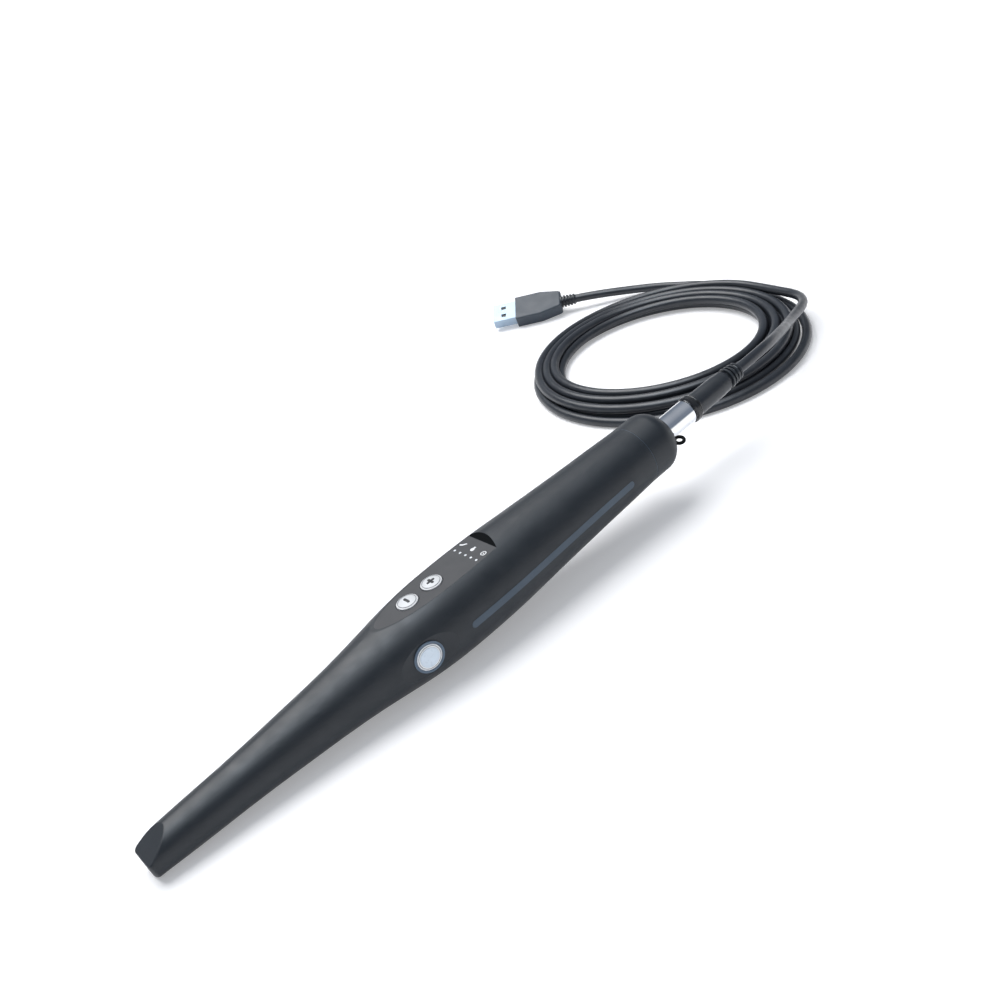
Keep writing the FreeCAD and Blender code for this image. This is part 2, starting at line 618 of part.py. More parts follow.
def make_boards():
    plate, ears = make_capture_inside()
    keep("switch_bracket", fuse("switch_bracket", [plate] + ears))

    board = doc.addObject("PartDesign::Body", "main_board")
    pad = board.newObject("PartDesign::Pad", "main_board_pad")
    pad.Profile = polygon(board, "main_board_outline", "XY_Plane", [
        ("board_start", "-1*board_half"), ("board_end", "-1*board_half"), ("board_end", "board_half"),
        ("board_start", "board_half"),
    ])
    bind(pad, Length="board_thick")
    board.Tip = pad
    board.Placement = Placement(Vector(0, 0, -value("board_low")), Rotation())
    drills = [rod("board_drill_%d" % i, "0.8", "6", (x, y, "-3"), "z")
              for i, (x, y) in enumerate(screw_spots())]
    keep("main_board", cut("main_board_drilled", board, drills))

    tray = block("tray_plate", ("tray_end - tray_start", "2*tray_half", "tray_deep"),
                 ("tray_start", "-1*tray_half", "-1*board_low - tray_deep"))
    lighten = centred_block("tray_lighten", ("60", "7", "2"), ("110", "0", "-1*board_low - 2"))
    disc = rod("tray_disc", "rear_bore", "4", ("tray_end - 4", "0", "0"))
    wires = rod("tray_wires", "4.6", "6", ("tray_end - 5", "0", "4"))
    taps = [rod("tray_tap_%d" % i, "0.8", "3.2", (x, y, "-2.8"), "z")
            for i, (x, y) in enumerate(screw_spots())]
    keep("board_tray", cut("board_tray", fuse("tray_solid", [tray, disc]), [lighten, wires] + taps))

    screws = []
    for i, (x, y) in enumerate(screw_spots()):
        shank = rod("screw_shank_%d" % i, "0.8", "3.5", (x, y, "-2.8"), "z")
        head = rod("screw_head_%d" % i, "1.45", "0.9", (x, y, "board_thick - board_low"), "z")
        screws.append(fuse("screw_%d" % i, [shank, head]))
    keep("board_screws", group("board_screws", screws))

    top = "board_thick - board_low"
    keep("image_processor", centred_block("image_processor", ("9", "9", "1.3"), ("118", "0", top)))
    keep("memory_chip", centred_block("memory_chip", ("8", "6", "1"), ("139", "0", top)))
    keep("usb_bridge_chip", centred_block("usb_bridge_chip", ("5", "5", "0.9"), ("156", "0", top)))
    keep("wire_connector", centred_block("wire_connector", ("5", "8", "2.6"), ("163", "0", top)))
    keep("socket_wires", centred_block("socket_wires", ("socket_start - 168", "3.4", "1.2"),
                                       ("168", "0", "1.4")))


# ---------------------------------------------------------------- rear cap and socket

def dome_corners(count):
    """Corners of the rear dome's outline, as (position, radius)."""
    corners = []
    long_axis = value("cap_end") - value("dome_start")
    for i in range(count + 1):
        angle = math.radians(90.0 * i / count)
        radius = value("dome_rad") * math.cos(angle)
        if radius < value("cap_hole"):
            break
        along = "dome_start + %.4f" % (long_axis * math.sin(angle))
        corners.append((along, "%.4f*dome_rad" % math.cos(angle)))
    last = math.sqrt(1 - (value("cap_hole") / value("dome_rad")) ** 2)
    corners.append(("dome_start + %.4f" % (long_axis * last), "cap_hole"))
    return corners


def pin_spots():
    """Places of the five pins round the socket's axis."""
    angles = [math.radians(72 * i) for i in range(5)]
    return [("%.4f" % (2.4 * math.cos(angle)), "%.4f" % (2.4 * math.sin(angle))) for angle in angles]


def make_rear():
    corners = [
        ("spigot_start", "cap_bore"), ("spigot_start", "rear_bore"), ("192", "rear_bore"), ("192", "8.8"),
        ("193.2", "8.8"), ("193.2", "rear_bore"), ("barrel_len + 0.12", "rear_bore"),
        ("barrel_len + 0.12", "seam_rad - 0.12"), ("barrel_len + 0.3", "seam_rad"),
    ]
    corners += dome_corners(24)
    corners += [
        ("socket_end", "cap_hole"), ("socket_end", "socket_rad"), ("socket_start", "socket_rad"),
        ("socket_start", "cap_bore"),
    ]
    keep("rear_cap", turned("rear_cap", corners))
    keep("cap_seal", pipe("cap_seal", "rear_bore", "8.8", "1.2", ("192", "0", "0")))
    keep("socket_shell", pipe("socket_shell", "socket_rad", "socket_bore", "socket_end - socket_start",
                              ("socket_start", "0", "0")))
    keep("socket_insert", rod("socket_insert", "socket_bore", "2", ("socket_start", "0", "0")))
    pins = [rod("socket_pin_%d" % i, "0.35", "2.6", ("socket_start + 2",) + spot)
            for i, spot in enumerate(pin_spots())]
    keep("socket_pins", group("socket_pins", pins))
    eyelet = doc.addObject("Part::Torus", "strap_eyelet")
    bind(eyelet, Radius1="eyelet_rad", Radius2="eyelet_wire")
    place(eyelet, ("eyelet_pos", "-1*eyelet_side", "-1*eyelet_drop"), "y")
    upright = Rotation(Vector(1, 0, 0), -90 - value("eyelet_swing"))
    eyelet.Placement = Placement(eyelet.Placement.Base, upright)
    keep("strap_eyelet", eyelet)


# ---------------------------------------------------------------- plug on the wand's end of the cable

def make_cable_plug():
    keep("plug_sleeve", turned("plug_sleeve", [
        ("sleeve_start", "sleeve_rad - sleeve_wall"), ("sleeve_start", "sleeve_rad - 0.3"),
        ("sleeve_start + 0.3", "sleeve_rad"), ("sleeve_end - 0.8", "sleeve_rad"),
        ("sleeve_end", "sleeve_rad - 0.5"), ("sleeve_end", "0"), ("212", "0"),
        ("212", "sleeve_rad - sleeve_wall"),
    ]))
    keep("plug_insert", rod("plug_insert", "sleeve_rad - sleeve_wall", "212 - 204.8", ("204.8", "0", "0")))
    contacts = [rod("plug_contact_%d" % i, "0.6", "0.15", ("204.65",) + spot)
                for i, spot in enumerate(pin_spots())]
    keep("plug_contacts", group("plug_contacts", contacts))
    keep("plug_collar", turned("plug_collar", [
        ("sleeve_end", "0"), ("sleeve_end", "collar_rad - 0.45"), ("sleeve_end + 0.5", "collar_rad"),
        ("collar_end - 0.5", "collar_rad"), ("collar_end", "collar_rad - 0.5"), ("collar_end", "0"),
    ]))
    keep("cable_grip", turned("cable_grip", [
        ("collar_end", "0"), ("collar_end", "grip_rad"), ("grip_end - 5", "grip_rad - 0.1"),
        ("grip_end - 1", "grip_rad - 0.35"), ("grip_end", "grip_rad - 0.8"), ("grip_end", "0"),
    ]))
    corners = [("grip_end", "0"), ("grip_end", "2.9")]
    for i in range(4):
        start = "grip_end + %.2f" % (0.7 + 1.7 * i)
        crest = "relief_rad - %.2f" % (0.22 * i)
        corners += [
            (start, "2.9"), (start + " + 0.15", crest), (start + " + 0.95", crest), (start + " + 1.1", "2.7"),
        ]
    corners += [("relief_end", "2.5"), ("relief_end", "0")]
    keep("strain_relief", turned("strain_relief", corners))


# ---------------------------------------------------------------- cable and USB plug

def bend_route(points, label):
    """Straight runs joined by tangent arcs, each as large as its two runs allow."""
    runs = [(b - a).Length for a, b in zip(points, points[1:])]
    edges = []
    here = points[0]
    radii = []
    for i in range(1, len(points) - 1):
        before = (points[i] - points[i - 1]).normalize()
        after = (points[i + 1] - points[i]).normalize()
        turn = before.getAngle(after)
        reach = 0.45 * min(runs[i - 1], runs[i])
        radius = reach / math.tan(turn / 2)
        radii.append(round(radius, 1))
        start = points[i] - before * reach
        end = points[i] + after * reach
        inward = (after - before).normalize()
        middle = points[i] + inward * (radius / math.cos(turn / 2) - radius)
        edges.append(Part.LineSegment(here, start).toShape())
        edges.append(Part.Arc(start, middle, end).toShape())
        here = end
    edges.append(Part.LineSegment(here, points[-1]).toShape())
    print(label, "radii", radii, "runs", [round(run, 1) for run in runs])
    return Part.Wire(edges)


def tube(label, points):
    """Cable along a route, as one pipe solid."""
    route = bend_route(points, label)
    radius = value("cord_rad")
    circle = Part.Circle(points[0], points[1] - points[0], radius).toShape()
    made = doc.addObject("Part::Feature", label)
    made.Shape = route.makePipeShell([Part.Wire(circle)], True, False)
    expected = math.pi * radius ** 2 * route.Length
    print(label, "volume", round(made.Shape.Volume, 1), "section x length", round(expected, 1))
    keep(label, made, "table")


def ellipse_prism(name, major, minor, centre):
    """Upright elliptic prism of the coil's height."""
    body = doc.addObject("Part::Ellipse", name + "_curve")
    bind(body, MajorRadius=major, MinorRadius=minor)
    body.Placement = Placement(Vector(centre[0], centre[1], 0), Rotation(Vector(0, 0, 1), value("coil_turn")))
    solid = doc.addObject("Part::Extrusion", name)
    solid.Base = body
    solid.DirMode = "Custom"
    solid.Dir = Vector(0, 0, 1)
    solid.Solid = True
    bind(solid, LengthFwd="coil_high")
    return solid


def make_coil():
    outer = ellipse_prism("coil_outer", "coil_major", "coil_minor", COIL_CENTRE)
    inner = ellipse_prism("coil_inner", "coil_hole", "coil_hole", COIL_HOLE)
    ring = cut("coil_ring", outer, [inner])
    doc.recompute()
    rounded = doc.addObject("Part::Fillet", "cable_coil")
    rounded.Base = ring
    rim = []
    for number, edge in enumerate(ring.Shape.Edges, start=1):
        flat = abs(edge.BoundBox.ZMax - edge.BoundBox.ZMin) < 1e-6
        if flat:
            rim.append((number, value("coil_round"), value("coil_round")))
    rounded.Edges = rim
    keep("cable_coil", rounded, "table")


def make_usb():
    mid = "0.5*grip_high"
    outer = centred_block("usb_outer", ("usb_long + 4", "usb_wide", "usb_high"),
                          ("-1*usb_long", "0", mid + " - 0.5*usb_high"))
    hollow = centred_block("usb_hollow", ("usb_long + 3", "usb_wide", "usb_high"),
                           ("-1*usb_long", "0", mid + " - 0.5*usb_high + usb_skin"))
    bind(hollow, Width="usb_wide - 2*usb_skin", Height="usb_high - 2*usb_skin")
    hollow.setExpression("Placement.Base.y", formula("usb_skin - 0.5*usb_wide"))
    windows = [block("usb_window_%d" % i, ("2.4", "2.2", "9"), ("-7.6", text, "-0.5"))
               for i, text in enumerate(("1.6", "-3.8"))]
    keep("usb_shell", cut("usb_shell", outer, [hollow] + windows), "usb")
    keep("usb_tongue", centred_block("usb_tongue", ("usb_long + 2.6", "tongue_wide", "1.8"),
                                     ("-1*usb_long + 0.4", "0", mid)), "usb")
    strips = [centred_block("usb_contact_%d" % i, ("8.6", "1", "0.15"),
                            ("-1*usb_long + 1", "%.2f" % across, mid + " - 0.15"))
              for i, across in enumerate((-3.5, -1.0, 1.0, 3.5))]
    keep("usb_contacts", group("usb_contacts", strips), "usb")
    grip = doc.addObject("PartDesign::Body", "usb_grip_body")
    pad = grip.newObject("PartDesign::Pad", "usb_grip_pad")
    pad.Profile = polygon(grip, "usb_grip_outline", "XY_Plane", [
        ("0", "-0.5*grip_wide + 0.4"), ("0.4", "-0.5*grip_wide"), ("0.55*grip_long", "-0.5*grip_wide"),
        ("grip_long - 1", "-0.35*grip_wide"), ("grip_long", "-0.3*grip_wide"),
        ("grip_long", "0.3*grip_wide"), ("grip_long - 1", "0.35*grip_wide"),
        ("0.55*grip_long", "0.5*grip_wide"), ("0.4", "0.5*grip_wide"), ("0", "0.5*grip_wide - 0.4"),
    ])
    bind(pad, Length="grip_high")
    grip.Tip = pad
    doc.recompute()
    soften = grip.newObject("PartDesign::Fillet", "usb_grip_fillet")
    rims = ["Edge%d" % number for number, edge in enumerate(pad.Shape.Edges, start=1)
            if edge.BoundBox.ZLength < 1e-6 and edge.BoundBox.XMin > 0.2]
    soften.Base = (pad, rims)
    soften.setExpression("Radius", formula("grip_round"))
    grip.Tip = soften
    seat = centred_block("usb_seat", ("4", "usb_wide", "usb_high"), ("0", "0", mid + " - 0.5*usb_high"))
    keep("usb_grip", cut("usb_grip", grip, [seat]), "usb")
    cone = doc.addObject("Part::Cone", "usb_relief")
    bind(cone, Radius1="3", Radius2="2.4", Height="7")
    place(cone, ("grip_long", "0", mid), "x")
    keep("usb_relief", cone, "usb")


# ---------------------------------------------------------------- build, place, check, write

def check_document():
    """Stop at any object that failed and at any sub-part without a valid shape."""
    for thing in doc.Objects:
        if "Invalid" in thing.State or "Error" in thing.State:
            raise RuntimeError("%s failed: %s" % (thing.Name, thing.State))
    for label, (made, frame) in nodes.items():
        if made.Shape.isNull() or not made.Shape.isValid():
            raise RuntimeError(label + " has no valid shape")


pad_plate = keypad_blank()
trim_plate = end_trim_blank()
strips = [strip_blank("strip_left", 1), strip_blank("strip_right", -1)]
make_barrel(pad_plate, trim_plate, strips)
make_trim(pad_plate, trim_plate, strips)
make_keys()
make_optics()
make_boards()
make_rear()
make_cable_plug()
make_coil()
make_usb()
doc.recompute()
check_document()

CORD_NODES = [
    "plug_sleeve", "plug_insert", "plug_contacts", "plug_collar", "cable_grip", "strain_relief",
    "cable_coil", "usb_shell", "usb_tongue", "usb_contacts", "usb_grip", "usb_relief",
]

# Tip the wand until it rests, and put the origin under the middle of it without its cable.
# The USB plug rests on one long edge, rolled by the cable's twist.
tip_up = Placement(Vector(), Rotation(Vector(0, 1, 0), -value("tilt")))
box = FreeCAD.BoundBox()
for label, (made, frame) in nodes.items():
    if label not in CORD_NODES:
        shape = made.Shape.copy()
        shape.Placement = tip_up.multiply(shape.Placement)
        for point in shape.tessellate(0.02)[0]:
            box.add(point)
wand = Placement(Vector(-box.Center.x, 0, -box.ZMin), tip_up.Rotation)
roll = math.radians(value("usb_roll"))
usb_rise = value("0.5*grip_wide - grip_round") * math.sin(roll) + value("grip_round") * (1 - math.cos(roll))
usb_heading = Rotation(Vector(0, 0, 1), value("usb_turn"))
usb_turned = usb_heading.multiply(Rotation(Vector(1, 0, 0), value("usb_roll")))
usb = Placement(Vector(USB_FRONT[0], USB_FRONT[1], usb_rise), usb_turned)
frames = {"wand": wand, "usb": usb, "table": Placement()}
print("wand origin", wand.Base, "axis", wand.Rotation.multVec(Vector(1, 0, 0)))

exit_point = wand.multVec(Vector(value("relief_end"), 0, 0))
axis = wand.Rotation.multVec(Vector(1, 0, 0))
tube("cable_lead", [exit_point, exit_point + axis * 14.5] + [Vector(*p) for p in LEAD_END])
usb_end = usb.multVec(Vector(value("grip_long") + 7, 0, value("grip_high") / 2))
usb_axis = usb.Rotation.multVec(Vector(1, 0, 0))
tube("cable_tail", [Vector(*p) for p in TAIL_START] + [usb_end + usb_axis * 8, usb_end])
doc.recompute()

for made, frame in nodes.values():
    made.Placement = frames[frame].multiply(made.Placement)
doc.recompute()
check_document()

os.makedirs("parts", exist_ok=True)
for label, (made, frame) in nodes.items():
    print("%-22s %9.2f mm3  %d solid" % (label, made.Shape.Volume, len(made.Shape.Solids)))
    made.Shape.exportStep("parts/%s.step" % label)
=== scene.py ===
"""Looks of the intraoral camera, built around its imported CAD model. Lengths in millimetres unless said."""

import json
import math

import bmesh
import bpy
from mathutils import Matrix, Vector


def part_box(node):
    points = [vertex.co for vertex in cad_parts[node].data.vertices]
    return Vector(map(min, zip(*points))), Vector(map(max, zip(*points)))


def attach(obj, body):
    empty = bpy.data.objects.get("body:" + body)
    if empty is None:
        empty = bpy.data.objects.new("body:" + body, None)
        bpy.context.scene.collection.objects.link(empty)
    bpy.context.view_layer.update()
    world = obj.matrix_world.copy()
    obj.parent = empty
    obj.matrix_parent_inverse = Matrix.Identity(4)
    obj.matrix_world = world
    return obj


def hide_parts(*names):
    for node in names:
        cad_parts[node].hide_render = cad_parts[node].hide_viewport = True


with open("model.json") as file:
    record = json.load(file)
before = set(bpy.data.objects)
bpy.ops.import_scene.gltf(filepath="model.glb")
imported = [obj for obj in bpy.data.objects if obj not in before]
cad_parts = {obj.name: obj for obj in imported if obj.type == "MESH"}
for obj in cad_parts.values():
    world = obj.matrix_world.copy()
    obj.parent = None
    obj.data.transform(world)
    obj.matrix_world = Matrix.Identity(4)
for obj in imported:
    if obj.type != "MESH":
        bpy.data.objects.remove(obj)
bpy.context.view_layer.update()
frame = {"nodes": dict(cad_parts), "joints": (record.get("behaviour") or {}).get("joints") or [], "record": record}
MM = 0.001
scene = bpy.context.scene
joints = {joint["name"]: joint for joint in frame["joints"]}

# Places along the wand's axis and sizes that the CAD model also has.
CARRIAGE_MIDDLE = 26
MINUS_AT, PLUS_AT = 100.5, 110.2
KEYPAD_TOP, KEY_TOP = 11.9, 12.50
SIGNS_AT, SIGN_SPACING = 127.7, 5.2
SEAM_AT, GRIP_AT, RELIEF_END = 196.98, 228.1, 253.5
USB_SHELL, USB_GRIP, USB_RELIEF = 11.75, 23.4, 7.0
CORD_RADIUS = 2.0

# The wand's own axes: along it to the rear, across it to the left, and up through the keypad.
ALONG = Vector(joints["cable_pull"]["axis"]).normalized()
ACROSS = Vector((0, 1, 0))
UP = ALONG.cross(ACROSS)
low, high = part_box("focus_carriage")
ORIGIN = (low + high) / 2 - ALONG * CARRIAGE_MIDDLE * MM


def wand(x, y, z):
    """Point given along, across and above the wand's axis."""
    return ORIGIN + (ALONG * x + ACROSS * y + UP * z) * MM


def frame_at(point, side, up):
    """Matrix whose Z is up and whose X is as near to side as that allows."""
    z = Vector(up).normalized()
    x = (Vector(side) - z * Vector(side).dot(z)).normalized()
    made = Matrix((x, z.cross(x), z)).transposed().to_4x4()
    made.translation = point
    return made


# ---------------------------------------------------------------- camera

def add_camera():
    azimuth, elevation, roll = (math.radians(a) for a in (-31.167, 28.511, 18.157))
    back = Vector((math.sin(azimuth) * math.cos(elevation), -math.cos(azimuth) * math.cos(elevation),
                   math.sin(elevation)))
    right = (-back).cross(Vector((0, 0, 1))).normalized()
    up = right.cross(-back)
    rolled_right = right * math.cos(roll) - up * math.sin(roll)
    rolled_up = right * math.sin(roll) + up * math.cos(roll)
    data = bpy.data.cameras.new("photo_camera")
    data.sensor_width = 36
    data.lens = 41.341
    data.clip_start = 0.01
    data.clip_end = 20
    camera = bpy.data.objects.new("photo_camera", data)
    scene.collection.objects.link(camera)
    turn = Matrix((rolled_right, rolled_up, back)).transposed().to_4x4()
    turn.translation = Vector((-127.83, -267.47, 206.65)) * MM
    camera.matrix_world = turn
    scene.camera = camera


# ---------------------------------------------------------------- materials

def node(tree, kind, **inputs):
    made = tree.nodes.new(kind)
    for name, value in inputs.items():
        made.inputs[name.replace("_", " ")].default_value = value
    return made


def noise(tree, scale, detail=2.0):
    coords = tree.nodes.new("ShaderNodeTexCoord")
    made = node(tree, "ShaderNodeTexNoise", Scale=scale, Detail=detail)
    tree.links.new(coords.outputs["Object"], made.inputs["Vector"])
    return made.outputs["Fac"]


def spread(tree, source, low, high):
    """Map a noise's middle range to low..high."""
    made = tree.nodes.new("ShaderNodeMapRange")
    for name, value in (("From Min", 0.3), ("From Max", 0.7), ("To Min", low), ("To Max", high)):
        made.inputs[name].default_value = value
    tree.links.new(source, made.inputs["Value"])
    return made.outputs["Result"]


def material(name, color, rough, metal=0.0, grain=0.4, bump=0.1, mottle=0.06, uneven=0.06, edge_highlight=0.0,
             patch=14.0, **constants):
    """Moulded or metal surface: colour mottled over patches, uneven roughness, fine grain and a painted highlight
    that lightens sharp edges.
    grain and patch are the sizes of their features."""
    made = bpy.data.materials.new(name)
    made.use_nodes = True
    tree = made.node_tree
    shader = tree.nodes["Principled BSDF"]
    shader.inputs["Metallic"].default_value = metal
    for key, value in constants.items():
        shader.inputs[key.replace("_", " ")].default_value = value
    fine = noise(tree, 1 / (grain * MM), 3)
    broad = noise(tree, 1 / (patch * MM))
    mix = tree.nodes.new("ShaderNodeMix")
    mix.data_type = "RGBA"
    mix.inputs["A"].default_value = [c * (1 - mottle) for c in color] + [1]
    mix.inputs["B"].default_value = [min(1, c * (1 + mottle)) for c in color] + [1]
    tree.links.new(spread(tree, broad, 0, 1), mix.inputs["Factor"])
    result = mix.outputs["Result"]
    # Painted highlight: edges found by pointiness are lightened, as if a rounded edge caught the light.
    if edge_highlight:
        edge = tree.nodes.new("ShaderNodeNewGeometry")
        ramp = tree.nodes.new("ShaderNodeValToRGB")
        ramp.color_ramp.elements[0].position = 0.53
        ramp.color_ramp.elements[1].position = 0.62
        tree.links.new(edge.outputs["Pointiness"], ramp.inputs["Fac"])
        highlight_amount = tree.nodes.new("ShaderNodeMath")
        highlight_amount.operation = "MULTIPLY"
        highlight_amount.inputs[1].default_value = edge_highlight
        tree.links.new(ramp.outputs["Color"], highlight_amount.inputs[0])
        highlighted = tree.nodes.new("ShaderNodeMix")
        highlighted.data_type = "RGBA"
        highlighted.inputs["B"].default_value = [min(1, c * 2.5 + 0.03) for c in color] + [1]
        tree.links.new(highlight_amount.outputs["Value"], highlighted.inputs["Factor"])
        tree.links.new(result, highlighted.inputs["A"])
        result = highlighted.outputs["Result"]
    tree.links.new(result, shader.inputs["Base Color"])
    tree.links.new(spread(tree, noise(tree, 1 / (0.4 * patch * MM), 4), max(0.02, rough - uneven),
                          rough + uneven), shader.inputs["Roughness"])
    relief = tree.nodes.new("ShaderNodeBump")
    relief.inputs["Strength"].default_value = bump
    relief.inputs["Distance"].default_value = 0.15 * grain * MM
    tree.links.new(fine, relief.inputs["Height"])
    tree.links.new(relief.outputs["Normal"], shader.inputs["Normal"])
    return made


def brushed(name, color, rough, axis, **options):
    """Metal turned round an axis: the grain is stretched into fine rings."""
    made = material(name, color, rough, metal=1.0, grain=0.25, bump=0.05, mottle=0.04, **options)
    tree = made.node_tree
    texture = next(n for n in tree.nodes if n.type == "TEX_NOISE")
    source = texture.inputs["Vector"].links[0].from_socket
    stretch = tree.nodes.new("ShaderNodeVectorMath")
    stretch.operation = "DOT_PRODUCT"
    stretch.inputs[1].default_value = axis
    tree.links.new(source, stretch.inputs[0])
    texture.noise_dimensions = "1D"
    tree.links.new(stretch.outputs["Value"], texture.inputs["W"])
    return made


# The edge amount given to some materials below lightens their sharp edges: a painted highlight.
MATERIALS = {
    "body_plastic": material("soft_touch", (0.010, 0.0145, 0.0205), 0.46, grain=0.3, bump=0.25, edge_highlight=0.15,
                             Specular_IOR_Level=0.44),
    "end_black": material("end_black", (0.006, 0.007, 0.008), 0.6, edge_highlight=0.1, Specular_IOR_Level=0.05),
    "membrane_grey": material("membrane", (0.068, 0.069, 0.073), 0.6, grain=0.5, bump=0.2, mottle=0.04,
                              Specular_IOR_Level=0.3),
    "strip_blue": material("strip", (0.050, 0.076, 0.108), 0.5, bump=0.15),
    "key_white": material("key_white", (0.68, 0.69, 0.70), 0.4, mottle=0.02, bump=0.05),
    "switch_metal": material("switch_metal", (0.6, 0.6, 0.6), 0.35, metal=1.0),
    "board_green": material("solder_mask", (0.015, 0.11, 0.05), 0.35, mottle=0.2, patch=3),
    "led_white": material("phosphor", (0.9, 0.86, 0.5), 0.4, mottle=0.1, patch=0.4),
    "pipe_clear": material("light_pipe", (0.90, 0.93, 0.96), 0.2, mottle=0.03, patch=1),
    "ribbon_amber": material("polyimide", (0.45, 0.2, 0.03), 0.3, mottle=0.15, patch=4),
    "glass_clear": material("coated_glass", (0.16, 0.18, 0.24), 0.06, uneven=0.02, bump=0.01, Coat_Weight=1.0,
                            Transmission_Weight=0.6),
    "glass_mirror": material("prism", (0.85, 0.87, 0.9), 0.05, metal=1.0, uneven=0.02, bump=0.01),
    "inner_black": material("inner_black", (0.02, 0.02, 0.022), 0.6),
    "magnet_metal": brushed("magnet", (0.45, 0.45, 0.47), 0.3, ALONG),
    "carriage_metal": brushed("carriage", (0.55, 0.55, 0.58), 0.35, ALONG),
    "chip_black": material("chip", (0.015, 0.015, 0.017), 0.5, mottle=0.2, patch=1),
    "connector_white": material("nylon", (0.75, 0.73, 0.66), 0.5),
    "wire_grey": material("wires", (0.25, 0.25, 0.27), 0.5, mottle=0.5, patch=1),
    "bracket_metal": material("bracket", (0.5, 0.5, 0.52), 0.35, metal=1.0, grain=0.2),
    "tray_grey": material("tray", (0.08, 0.08, 0.09), 0.6),
    "screw_metal": material("screws", (0.55, 0.55, 0.57), 0.3, metal=1.0),
    "ring_blue": material("ring_blue", (0.070, 0.105, 0.150), 0.5, bump=0.08, edge_highlight=0.2),
    "disc_silver": material("disc_silver", (0.84, 0.86, 0.88), 0.3, bump=0.05, mottle=0.03),
    "seal_rubber": material("seal", (0.02, 0.02, 0.02), 0.7),
    "socket_metal": brushed("socket", (0.7, 0.7, 0.72), 0.25, ALONG),
    "contact_gold": material("gold", (0.9, 0.62, 0.2), 0.2, metal=1.0, mottle=0.05, patch=2),
    "sleeve_metal": brushed("sleeve", (0.86, 0.88, 0.91), 0.10, ALONG, uneven=0.03),
    "collar_black": material("collar", (0.012, 0.013, 0.015), 0.22, bump=0.05, edge_highlight=0.2),
    "grip_black": material("grip_black", (0.020, 0.024, 0.030), 0.33, bump=0.12, edge_highlight=0.1),
    "cable_black": material("cable_jacket", (0.021, 0.025, 0.032), 0.34, grain=0.5, bump=0.15, mottle=0.12,
                            patch=9),
    "usb_black": material("usb_black", (0.040, 0.053, 0.070), 0.5, grain=0.5, bump=0.3, edge_highlight=0.1),
    "usb_metal": material("usb_metal", (0.42, 0.53, 0.65), 0.4, metal=0.3, grain=0.3, bump=0.04, uneven=0.05,
                          Specular_IOR_Level=0.2),
    "tongue_black": material("tongue", (0.02, 0.022, 0.026), 0.45, mottle=0.1, patch=3),
}
INK = material("ink", (0.02, 0.022, 0.026), 0.5, bump=0.05)
PRINT = material("print_white", (0.86, 0.87, 0.88), 0.5, bump=0.05, mottle=0.03, patch=1)
PALE_BLUE = material("capture_lens", (0.70, 0.80, 0.90), 0.3, bump=0.03, mottle=0.03, patch=3,
                     Coat_Weight=0.5)
RIM_GREY = material("rim_grey", (0.22, 0.23, 0.25), 0.4, bump=0.05)

for part in frame["record"]["subparts"]:
    mesh = frame["nodes"][part["node"]].data
    mesh.materials.clear()
    mesh.materials.append(MATERIALS[part["material_slot"]])


# ---------------------------------------------------------------- mesh pieces

def piece(name, mesh, place, body, look):
    """Object from a bmesh in millimetres, placed by a matrix in metres, riding on a body."""
    data = bpy.data.meshes.new(name)
    mesh.to_mesh(data)
    mesh.free()
    data.transform(Matrix.Scale(MM, 4))
    data.materials.append(look)
    for face in data.polygons:
        face.use_smooth = True
    made = bpy.data.objects.new(name, data)
    scene.collection.objects.link(made)
    made.matrix_world = place
    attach(made, body)
    return made


def soften(obj, width, segments=2):
    bevel = obj.modifiers.new("soften", "BEVEL")
    bevel.width = width * MM
    bevel.segments = segments
    bevel.limit_method = "ANGLE"
    return obj


def outline_prism(outlines, thick):
    """Upright prisms of closed outlines, base at z 0."""
    mesh = bmesh.new()
    for outline in outlines:
        verts = [mesh.verts.new((x, y, 0)) for x, y in outline]
        face = mesh.faces.new(verts)
        lifted = bmesh.ops.extrude_face_region(mesh, geom=[face])["geom"]
        raised = [v for v in lifted if isinstance(v, bmesh.types.BMVert)]
        bmesh.ops.translate(mesh, vec=(0, 0, thick), verts=raised)
    bmesh.ops.recalc_face_normals(mesh, faces=mesh.faces)
    return mesh


def lathe(profile, steps=64):
    """Solid turned round Z from (radius, height) corners."""
    mesh = bmesh.new()
    verts = [mesh.verts.new((r, 0, z)) for r, z in profile]
    edges = [mesh.edges.new(pair) for pair in zip(verts, verts[1:])]
    bmesh.ops.spin(mesh, geom=verts + edges, cent=(0, 0, 0), axis=(0, 0, 1), angle=2 * math.pi, steps=steps,
                   use_merge=True)
    bmesh.ops.remove_doubles(mesh, verts=mesh.verts, dist=1e-4)
    bmesh.ops.recalc_face_normals(mesh, faces=mesh.faces)
    return mesh


def rounded_bar(length, width, count=8):
    """Outline of a bar with round ends along X."""
    half = (length - width) / 2
    ends = []
    for centre, start in ((half, -90), (-half, 90)):
        for i in range(count + 1):
            angle = math.radians(start + 180 * i / count)
            ends.append((centre + width / 2 * math.cos(angle), width / 2 * math.sin(angle)))
    return ends


def circle(radius, cx=0.0, cy=0.0, count=24):
    return [(cx + radius * math.cos(2 * math.pi * i / count), cy + radius * math.sin(2 * math.pi * i / count))
            for i in range(count)]


def ring_mesh(radius, width, high, crown=0.0):
    """Low flat ring with a slightly raised middle."""
    return lathe([(radius - width / 2, 0), (radius - width / 2, high), (radius, high + crown),
                  (radius + width / 2, high), (radius + width / 2, 0), (radius - width / 2, 0)])


# ---------------------------------------------------------------- keypad

